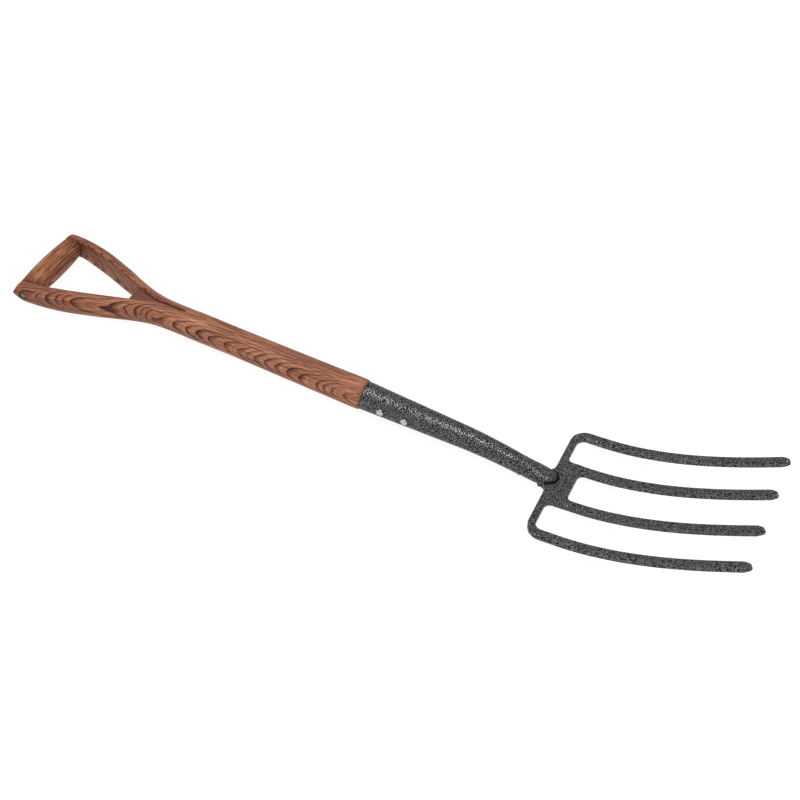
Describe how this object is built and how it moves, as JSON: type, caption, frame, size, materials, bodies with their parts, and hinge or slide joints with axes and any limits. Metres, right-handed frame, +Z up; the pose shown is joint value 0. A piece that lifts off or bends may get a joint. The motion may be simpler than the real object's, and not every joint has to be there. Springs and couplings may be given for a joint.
{
  "type": "digging fork",
  "caption": "Garden digging fork with a split ash shaft and barrel grip, a riveted tapered steel socket and a forged head of curved, blunt-tipped tines.",
  "frame": {"origin": "centre of the fork's footprint on the ground, as it lies on its back", "axes": "+X along the fork from the hand grip to the tine tips, +Y across the head, +Z up, out of the hollow front of the tines"},
  "size_m": [1.0018, 0.19, 0.1061],
  "materials": {
    "ash_wood": "stained ash under satin lacquer, with strong grain",
    "wedge_wood": "darker stained hardwood under satin lacquer",
    "hammer_paint": "charcoal hammer finish with silver flecks",
    "rivet_steel": "bright steel, lightly worn"
  },
  "bodies": {
    "root": {"ash_shaft": "ash_wood", "crotch_wedge": "wedge_wood", "hand_grip": "ash_wood", "grip_rivet": "rivet_steel", "grip_washer_left": "rivet_steel", "grip_washer_right": "rivet_steel", "split_rivet": "rivet_steel", "socket": "hammer_paint", "socket_rivet_upper": "rivet_steel", "socket_rivet_lower": "rivet_steel", "neck_weld": "hammer_paint", "fork_head": "hammer_paint"}
  },
  "joints": []
}
